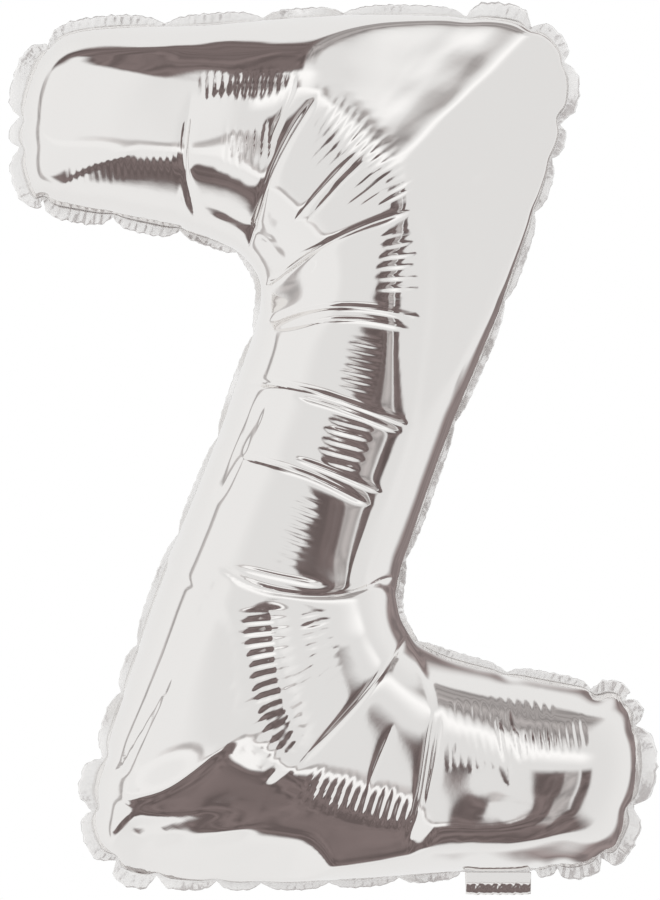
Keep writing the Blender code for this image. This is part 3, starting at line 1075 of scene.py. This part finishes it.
@dataclass
class FillTail:
    """The fill tail, folded up behind the lower bar: two films and the clear valve sleeve between them.

    Sizes are in millimetres. The middle line leaves the seam, goes round the fold, follows an oval behind
    the bar and ends in a straight run that stands off it.
    """

    middle: float = 67.6
    width: float = 26.0
    sleeve_width: float = 15.0
    thickness: float = 0.15
    along_count: int = 180
    across_count: int = 96
    # the fold's control points, y and z, of which the first lead is inside the seam
    fold: tuple[tuple[float, float], ...] = (
        (0.0, -169.6), (0.0, -171.4), (0.0, -173.2), (0.5, -175.0), (1.4, -176.8), (2.6, -178.4),
        (4.0, -177.8), (5.7, -175.2),
    )
    lead: float = 3.4
    oval_middle: float = -129.3
    oval_depth: float = 41.0
    oval_height: float = 41.9
    oval_degrees: tuple[float, float] = (20.0, 62.0)
    oval_count: int = 5
    straight: float = 16.0
    straight_shares: tuple[float, float, float] = (0.35, 0.7, 1.0)
    # the sleeve begins at this control point, past the fold, and sticks out of the mouth
    sleeve_begin: float = 6.0
    sleeve_beyond: float = 4.0
    # distance of each film from the middle line, and where its side edges are sealed together
    layer: float = 0.85
    sealed_layer: float = 0.25
    sealed_edge: float = 4.0
    sealed_from: tuple[float, float] = (4.0, 9.0)
    sealed_short: float = 7.0
    # the films are pinched at the seam and flare open towards the mouth
    pinch: float = 0.4
    pinch_ends: float = 1.0
    flare: float = 0.5
    flare_run: float = 9.0
    # height of the crinkle, and at the fold, with the fold's place and the square of how far it is felt
    crinkle: float = 0.1
    fold_crinkle: float = 0.11
    fold_at: float = 5.0
    fold_felt_squared: float = 40.0
    crinkle_begins: float = 3.0
    # the crinkle's two sines across the width: wavelengths, share of the long one, and how they wander
    short_wave: float = 2.9
    long_wave: float = 4.7
    long_share: float = 0.6
    wander: float = 1.5
    short_run: float = 4.0
    long_run: float = 6.0
    # slope across the width, with the bar behind it, and where it sets in
    slant: float = -0.13
    slant_span: tuple[float, float] = (10.0, 34.0)

    def middle_line(self, beyond: float) -> np.ndarray:
        """Control points of the middle line, in y and z, with a straight run longer by what is beyond."""
        turn = np.radians(np.linspace(*self.oval_degrees, self.oval_count))
        depth = self.oval_depth * np.sin(turn)
        behind = np.column_stack([depth, self.oval_middle - self.oval_height * np.cos(turn)])
        ahead = (behind[-1] - behind[-2]) / np.hypot(*(behind[-1] - behind[-2]))
        runs = np.array(self.straight_shares) * self.straight + (0.0, 0.0, beyond)
        return np.vstack([self.fold, behind, behind[-1] + runs[:, None] * ahead])

    def strip(
        self,
        name: str,
        width: float,
        level: float,
        begin: float,
        beyond: float,
        material: bpy.types.Material,
    ) -> bpy.types.Object:
        """One film of the tail.

        The middle line is swept across the width and moved along its normal by the level, which closes up
        to the sealed layer at both side edges and opens at the mouth. All three films share one crinkle, two
        sines across the width that wander along it, strongest at the fold. The strip slants with the bar
        behind it.

        Args:
            name: the piece's name.
            width: its width.
            level: 1 for the outer film, −1 for the inner one and 0 for the sleeve.
            begin: the control point of the middle line that it begins at.
            beyond: how much further than the films it runs.
            material: its finish.

        Returns:
            The film.
        """
        control = self.middle_line(beyond)
        line = blend_curve(control, np.linspace(begin, len(control) - 1, self.along_count + 1))
        ahead = np.gradient(line, axis=0)
        ahead /= np.hypot(ahead[:, 0], ahead[:, 1])[:, None]
        along = lengths_along(line)[:, None] - (self.lead if begin == 0 else 0.0)
        x = np.linspace(-width / 2, width / 2, self.across_count + 1)[None, :]

        end = along[-1]
        edge = 1 - smooth_step(width / 2 - np.abs(x), 0.0, self.sealed_edge)
        sealed = smooth_step(along, *self.sealed_from)
        sealed = sealed * (1 - smooth_step(along, end - self.sealed_short, end))
        apart = self.layer - (self.layer - self.sealed_layer) * sealed * edge
        apart = apart * (1 + self.flare * smooth_step(along, end - self.flare_run, end))
        apart = apart * (self.pinch + (1 - self.pinch) * smooth_step(along, -self.lead, self.pinch_ends))

        near_fold = np.exp(-((along - self.fold_at) ** 2) / self.fold_felt_squared)
        height = self.crinkle + (self.fold_crinkle - self.crinkle) * near_fold
        wave = np.sin(2 * np.pi * x / self.short_wave + self.wander * np.sin(along / self.short_run))
        wave = wave + self.long_share * np.sin(2 * np.pi * x / self.long_wave + along / self.long_run)
        off = level * apart + height * wave * smooth_step(along, 0.0, self.crinkle_begins)
        slanted = self.slant * x * smooth_step(along, *self.slant_span)
        y = line[:, None, 0] + ahead[:, None, 1] * off + slanted
        z = line[:, None, 1] - ahead[:, None, 0] * off
        points = np.stack(np.broadcast_arrays(self.middle + x, y, z), -1)
        quads = grid_quads(np.arange(y.size).reshape(y.shape))
        obj = make_object(name, points.reshape(-1, 3), quads, material)
        give_wall(obj, self.thickness)
        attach(obj, "root")
        return obj

    def build(self, foil: bpy.types.Material, clear: bpy.types.Material) -> list[bpy.types.Object]:
        """Make the two films and the sleeve.

        Args:
            foil: the films' finish.
            clear: the sleeve's finish.

        Returns:
            The three pieces.
        """
        outer = self.strip("tail_outer_film", self.width, 1.0, 0.0, 0.0, foil)
        inner = self.strip("tail_inner_film", self.width, -1.0, 0.0, 0.0, foil)
        sleeve = self.strip(
            "valve_film", self.sleeve_width, 0.0, self.sleeve_begin, self.sleeve_beyond, clear
        )
        for obj, node, slot in (
            (outer, "tail_front_film", "tail_foil"),
            (inner, "tail_back_film", "tail_foil"),
            (sleeve, "valve_sleeve", "valve_film"),
        ):
            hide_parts(node)
            LOG.info("%s: %d faces", obj.name, len(obj.data.polygons))
        return [outer, inner, sleeve]


@dataclass(frozen=True)
class BlownFoil:
    """Metallised polyester film under air pressure.

    To the eye it is a bright, cool mirror, slightly hazy in soft patches, with a very faint orange peel.
    """

    name: str = "blown_metallised_foil"
    colour: str = "f6f4f2"
    roughness: float = 0.045
    haze: float = 0.05
    patch_mm: float = 26.0
    patch_detail: float = 4.0
    patch_noise: tuple[float, float] = (0.4, 0.7)
    peel_mm: float = 2.2
    peel_detail: float = 3.0
    peel_depth_mm: float = 0.006

    def material(self) -> bpy.types.Material:
        """The finish's node material."""
        gloss = (self.roughness, self.roughness + self.haze)
        patches = (self.patch_mm, gloss, self.patch_detail, self.patch_noise)
        material = patchy_finish(self.name, self.colour, *patches)
        tree = material.node_tree
        shader = tree.nodes["Principled BSDF"]
        shader.inputs["Metallic"].default_value = 1.0
        place = add_node(tree, "ShaderNodeTexCoord").outputs["Object"]
        spread = {"Vector": place, "Scale": 1 / (self.peel_mm * MM), "Detail": self.peel_detail}
        peel = add_node(tree, "ShaderNodeTexNoise", {}, spread).outputs["Fac"]
        relief = {"Strength": 1.0, "Distance": self.peel_depth_mm * MM, "Height": peel}
        bump = add_node(tree, "ShaderNodeBump", {}, relief)
        tree.links.new(bump.outputs["Normal"], shader.inputs["Normal"])
        return material


@dataclass(frozen=True)
class SealedFoil:
    """Two metallised films fused by heated bars.

    The bars press in a crimp too fine to mirror anything, so to the eye the film is a pale, sparkling grey,
    half metal and half plastic. The crimp is drawn coarser than the real 0.5 mm, so that it shows.
    """

    colour: str = "fdfcfb"
    metal: float = 0.5
    roughness: float = 0.2
    roughness_shares: tuple[float, float] = (0.6, 1.5)
    patch_mm: float = 7.0
    crimp_mm: float = 1.5
    crimp_depth_mm: float = 0.08

    def material(self) -> bpy.types.Material:
        """The finish's node material."""
        gloss = tuple(self.roughness * share for share in self.roughness_shares)
        material = patchy_finish("heat_sealed_foil", self.colour, self.patch_mm, gloss)
        tree = material.node_tree
        shader = tree.nodes["Principled BSDF"]
        shader.inputs["Metallic"].default_value = self.metal
        place = add_node(tree, "ShaderNodeTexCoord").outputs["Object"]
        cells = {"Vector": place, "Scale": 1 / (self.crimp_mm * MM)}
        crimp = add_node(tree, "ShaderNodeTexVoronoi", {"feature": "F1"}, cells).outputs["Distance"]
        relief = {"Strength": 1.0, "Distance": self.crimp_depth_mm * MM, "Height": crimp}
        bump = add_node(tree, "ShaderNodeBump", {}, relief)
        tree.links.new(bump.outputs["Normal"], shader.inputs["Normal"])
        return material


@dataclass(frozen=True)
class ClearFilm:
    """Clear polyethylene film of the fill valve: thin, soft plastic, slightly milky to the eye."""

    colour: str = "eef1f4"
    roughness: float = 0.16
    roughness_shares: tuple[float, float] = (0.6, 1.6)
    patch_mm: float = 4.0
    alpha: float = 0.45
    refraction: float = 1.5

    def material(self) -> bpy.types.Material:
        """The finish's node material."""
        gloss = tuple(self.roughness * share for share in self.roughness_shares)
        material = patchy_finish("clear_valve_film", self.colour, self.patch_mm, gloss)
        shader = material.node_tree.nodes["Principled BSDF"]
        shader.inputs["Alpha"].default_value = self.alpha
        shader.inputs["IOR"].default_value = self.refraction
        return material


class Axis(Enum):
    """A measure of direction in the studio, in degrees but for the last.

    TURN is the angle about the upright axis, from the viewer's side towards the right. LIFT is the angle
    above the horizon. ARCH is the angle about the left-to-right axis, from the viewer's side up over the
    top. The wedges are the arch, drawn together towards the far left. ACROSS is −1 at the left and 1 at the
    right.
    """

    TURN = "turn"
    LIFT = "lift"
    ARCH = "arch"
    UPPER_WEDGE = "upper wedge"
    LOWER_WEDGE = "lower wedge"
    ACROSS = "across"


class Board(Enum):
    """A kind of panel, by its linear tint: lamps and white boards, and streaky grey and dark boards."""

    WHITE = (1.0, 1.0, 1.0)
    GREY = (1.0, 0.94, 0.93)
    DARK = linear_colour("f3dcda")[:3]


@dataclass(frozen=True)
class Window:
    """A range of one measure of direction, and how soft its two ends are."""

    axis: Axis
    low: float
    high: float
    soft_low: float
    soft_high: float


@dataclass(frozen=True)
class Panel:
    """A board, lamp or opening in the studio, which fills the directions that lie in all of its windows."""

    board: Board
    brightness: float
    strength: float
    windows: tuple[Window, ...]


# height of the boards that stand on the right
COLUMN = Window(Axis.LIFT, -52.0, 4.0, 5.0, 5.0)


@dataclass
class PaleStudio:
    """A plain white studio: pale floor, even light, and a few boards that the mirror film shows."""

    light: float = 0.80
    rear_light: float = 0.86
    rear_soft: float = 0.35
    # the boards' streaks: strength, stretch from left to right, fineness, finer layers and noise values
    streak: float = 0.3
    streak_stretch: float = 9.0
    streak_scale: float = 0.09
    streak_detail: float = 3.0
    streak_noise: tuple[float, float] = (0.28, 0.72)
    # the wedges draw together this fast to the left of −wedge_from
    wedge: float = 95.0
    wedge_from: float = 0.2
    panels: tuple[Panel, ...] = (
        # lamps and white boards
        Panel(
            Board.WHITE,
            1.12,
            0.8,
            (Window(Axis.ARCH, 26.0, 44.0, 12.0, 8.0), Window(Axis.ACROSS, -0.1, 0.78, 0.1, 0.1)),
        ),
        Panel(
            Board.WHITE,
            1.05,
            0.8,
            (Window(Axis.ARCH, -38.0, -27.0, 4.0, 3.0), Window(Axis.ACROSS, -1.2, 0.5, 0.3, 0.3)),
        ),
        Panel(Board.WHITE, 0.90, 0.8, (Window(Axis.TURN, -120.0, -24.0, 20.0, 12.0),)),
        # boards that show grey on the upper slopes, and dark on the upper and lower ones
        Panel(
            Board.GREY,
            0.40,
            1.0,
            (
                Window(Axis.ARCH, 20.0, 102.0, 2.0, 3.0),
                Window(Axis.UPPER_WEDGE, 54.0, 200.0, 7.0, 7.0),
                Window(Axis.ACROSS, 0.0, 0.6, 0.06, 0.06),
            ),
        ),
        Panel(
            Board.DARK,
            0.21,
            1.0,
            (
                Window(Axis.ARCH, 20.0, 102.0, 2.0, 3.0),
                Window(Axis.UPPER_WEDGE, 43.0, 200.0, 5.0, 5.0),
                Window(Axis.ACROSS, -1.2, 0.06, 0.08, 0.08),
            ),
        ),
        Panel(
            Board.DARK,
            0.21,
            1.0,
            (
                Window(Axis.ARCH, -86.0, -30.0, 3.0, 2.0),
                Window(Axis.LOWER_WEDGE, -200.0, -37.0, 4.0, 4.0),
                Window(Axis.ACROSS, -1.2, 0.7, 0.1, 0.1),
            ),
        ),
        Panel(
            Board.GREY,
            0.50,
            0.8,
            (Window(Axis.ARCH, -27.0, -20.0, 2.0, 3.0), Window(Axis.ACROSS, -0.6, 0.3, 0.2, 0.2)),
        ),
        # boards that show as columns on the right-hand slopes
        Panel(Board.DARK, 0.20, 1.0, (Window(Axis.TURN, 9.0, 24.0, 2.0, 2.0), COLUMN)),
        Panel(Board.DARK, 0.20, 1.0, (Window(Axis.TURN, 22.0, 31.0, 2.0, 2.0), COLUMN)),
        Panel(Board.GREY, 0.42, 1.0, (Window(Axis.TURN, 30.0, 43.5, 2.0, 2.0), COLUMN)),
        Panel(Board.DARK, 0.19, 1.0, (Window(Axis.TURN, 46.5, 58.0, 1.0, 2.0), COLUMN)),
        # narrow stand on the left
        Panel(
            Board.GREY,
            0.42,
            0.85,
            (Window(Axis.TURN, -102.0, -95.5, 1.8, 1.8), Window(Axis.LIFT, -45.0, 30.0, 8.0, 8.0)),
        ),
        # the room behind, past the edge of the backdrop
        Panel(
            Board.DARK,
            0.26,
            0.95,
            (Window(Axis.TURN, 128.0, 168.0, 6.0, 5.0), Window(Axis.LIFT, -60.0, 40.0, 10.0, 10.0)),
        ),
    )
    # the floor, in millimetres
    floor_colour: str = "f4f3f2"
    floor_roughness: tuple[float, float] = (0.8, 0.95)
    floor_patch: float = 30.0
    floor_drop: float = 250.0
    floor_x: tuple[float, float] = (-900.0, 900.0)
    floor_y: tuple[float, float] = (-900.0, 560.0)
    floor_count: int = 7
    # the lamp and the camera, in metres and degrees
    lamp_at: tuple[float, float, float] = (-0.5, 1.0, 1.5)
    lamp_tilt: tuple[float, float] = (-34.0, -16.0)
    lamp_size: float = 1.0
    lamp_power: float = 4.0
    camera_at: tuple[float, float, float] = (0.0002, -1.6, -0.0008)
    half_height: float = 0.180
    far_end: float = 50.0

    def measures(self, tree: bpy.types.NodeTree) -> dict[object, bpy.types.NodeSocket]:
        """Work out every measure of direction.

        Turn is the angle of (−y, x), lift the arcsine of z and arch the angle of (−y, z). The wedges are the
        arch ± wedge × what x lies beyond the left limit.

        Args:
            tree: the world's node tree.

        Returns:
            A socket for each axis, and those of the steps before it by name.
        """
        place = add_node(tree, "ShaderNodeTexCoord").outputs["Generated"]
        x, y, z = add_node(tree, "ShaderNodeSeparateXYZ", {}, {0: place}).outputs
        sockets = {"y": y, "z": z, Axis.ACROSS: x}
        for name, operation, *values in (
            ("front", "MULTIPLY", "y", -1.0),
            ("turned", "ARCTAN2", Axis.ACROSS, "front"),
            (Axis.TURN, "DEGREES", "turned"),
            ("lifted", "ARCSINE", "z"),
            (Axis.LIFT, "DEGREES", "lifted"),
            ("arched", "ARCTAN2", "z", "front"),
            (Axis.ARCH, "DEGREES", "arched"),
            ("shifted", "ADD", Axis.ACROSS, self.wedge_from),
            ("far left", "MINIMUM", "shifted", 0.0),
            ("narrowing", "MULTIPLY", "far left", self.wedge),
            (Axis.UPPER_WEDGE, "ADD", Axis.ARCH, "narrowing"),
            (Axis.LOWER_WEDGE, "SUBTRACT", Axis.ARCH, "narrowing"),
            ("drawn out", "MULTIPLY", Axis.ACROSS, self.streak_stretch),
        ):
            inputs = {k: sockets.get(value, value) for k, value in enumerate(values)}
            sockets[name] = add_node(tree, "ShaderNodeMath", {"operation": operation}, inputs).outputs[0]
        return sockets

    def world(self) -> None:
        """Light the scene from all round.

        Camera and diffuse rays see plain white. Other rays see the light brightness, rising behind the
        object to the rear brightness, and then each panel in turn, its own brightness mixed in by its
        strength × a product of soft steps. A drawn-out noise makes the grey and dark boards faintly streaky.
        """
        world = bpy.data.worlds.new("pale_studio")
        bpy.context.scene.world = world
        world.use_nodes = True
        tree = world.node_tree
        tree.nodes.clear()
        sockets = self.measures(tree)
        steps = {"interpolation_type": "SMOOTHSTEP"}

        spots = {0: sockets["drawn out"], 1: sockets[Axis.ARCH], 2: sockets[Axis.TURN]}
        place = add_node(tree, "ShaderNodeCombineXYZ", {}, spots).outputs[0]
        spread = {"Vector": place, "Scale": self.streak_scale, "Detail": self.streak_detail}
        noise = add_node(tree, "ShaderNodeTexNoise", {}, spread).outputs["Fac"]
        low, high = self.streak_noise
        levels = {"From Min": low, "From Max": high, "To Min": 1 - self.streak, "To Max": 1 + self.streak}
        streaks = add_node(tree, "ShaderNodeMapRange", steps, {"Value": noise, **levels}).outputs["Result"]

        levels = {"From Min": -self.rear_soft, "From Max": self.rear_soft}
        levels |= {"To Min": self.light, "To Max": self.rear_light}
        levels |= {"Value": sockets["y"]}
        colour = add_node(tree, "ShaderNodeMapRange", steps, levels).outputs["Result"]
        for panel in self.panels:
            part = panel.strength
            for window in panel.windows:
                value = sockets[window.axis]
                for middle, soft, ends in (
                    (window.low, window.soft_low, ("To Max", "To Min")),
                    (window.high, window.soft_high, ("To Min", "To Max")),
                ):
                    levels = {"From Min": middle - soft, "From Max": middle + soft}
                    levels |= {"Value": value, ends[0]: part, ends[1]: 0.0}
                    part = add_node(tree, "ShaderNodeMapRange", steps, levels).outputs["Result"]
            tint = [panel.brightness * value for value in panel.board.value]
            own = (*tint, 1.0)
            if panel.board is not Board.WHITE:
                scale = {"operation": "SCALE"}
                own = add_node(tree, "ShaderNodeVectorMath", scale, {0: tint, "Scale": streaks}).outputs[0]
            mixed = {"Factor": part, "A": colour, "B": own}
            colour = add_node(tree, "ShaderNodeMix", {"data_type": "RGBA"}, mixed).outputs["Result"]

        path = add_node(tree, "ShaderNodeLightPath").outputs
        rays = {0: path["Is Camera Ray"], 1: path["Is Diffuse Ray"]}
        plain = add_node(tree, "ShaderNodeMath", {"operation": "MAXIMUM"}, rays).outputs[0]
        mixed = {"Factor": plain, "A": colour, "B": (1.0, 1.0, 1.0, 1.0)}
        seen_light = add_node(tree, "ShaderNodeMix", {"data_type": "RGBA"}, mixed).outputs["Result"]
        background = add_node(tree, "ShaderNodeBackground", {}, {"Color": seen_light})
        add_node(tree, "ShaderNodeOutputWorld", {}, {"Surface": background.outputs[0]})

    def floor(self) -> None:
        """Lay a floor of dry matt paint under the letter, which the film doesn't mirror."""
        patches = (self.floor_patch, self.floor_roughness)
        material = patchy_finish("pale_matt_floor", self.floor_colour, *patches)
        x, y = np.meshgrid(
            np.linspace(*self.floor_x, self.floor_count),
            np.linspace(*self.floor_y, self.floor_count),
            indexing="ij",
        )
        points = np.stack([x, y, np.full_like(x, -self.floor_drop)], -1).reshape(-1, 3)
        floor = make_object("floor", points, grid_quads(np.arange(x.size).reshape(x.shape)), material)
        floor.visible_glossy = False

    def lamp(self) -> None:
        """Hang a soft lamp behind and above the letter, which the film doesn't mirror either."""
        data = bpy.data.lights.new("soft_lamp", "AREA")
        data.shape = "DISK"
        data.size = self.lamp_size
        data.energy = self.lamp_power
        lamp = bpy.data.objects.new("soft_lamp", data)
        lamp.location = self.lamp_at
        lamp.rotation_euler = (*(math.radians(angle) for angle in self.lamp_tilt), 0.0)
        lamp.visible_glossy = False
        bpy.context.scene.collection.objects.link(lamp)

    def camera(self) -> None:
        """Look along +Y at the middle of the letter, with a frame 360 mm high at the seam plane."""
        data = bpy.data.cameras.new("front_camera")
        camera = bpy.data.objects.new("front_camera", data)
        bpy.context.scene.collection.objects.link(camera)
        camera.location = self.camera_at
        camera.rotation_euler = (math.pi / 2, 0.0, 0.0)
        data.sensor_fit = "VERTICAL"
        data.angle = 2 * math.atan(self.half_height / -self.camera_at[1])
        data.clip_end = self.far_end
        bpy.context.scene.camera = camera
        bpy.context.scene.view_settings.view_transform = "Standard"


def main() -> None:
    """Build every piece in order and report it."""
    logging.basicConfig(level=logging.INFO, format="%(message)s")
    studio = PaleStudio()
    studio.camera()
    studio.world()
    studio.floor()
    studio.lamp()
    balloon = LetterBalloon(SeamPlan(), BlownShape(), FilmFolds(), SealedRim())
    balloon.build(BlownFoil().material(), SealedFoil().material())
    tail_foil = BlownFoil("crinkled_tail_foil", roughness=0.09).material()
    FillTail().build(tail_foil, ClearFilm().material())


if __name__ == "__main__":
    main()
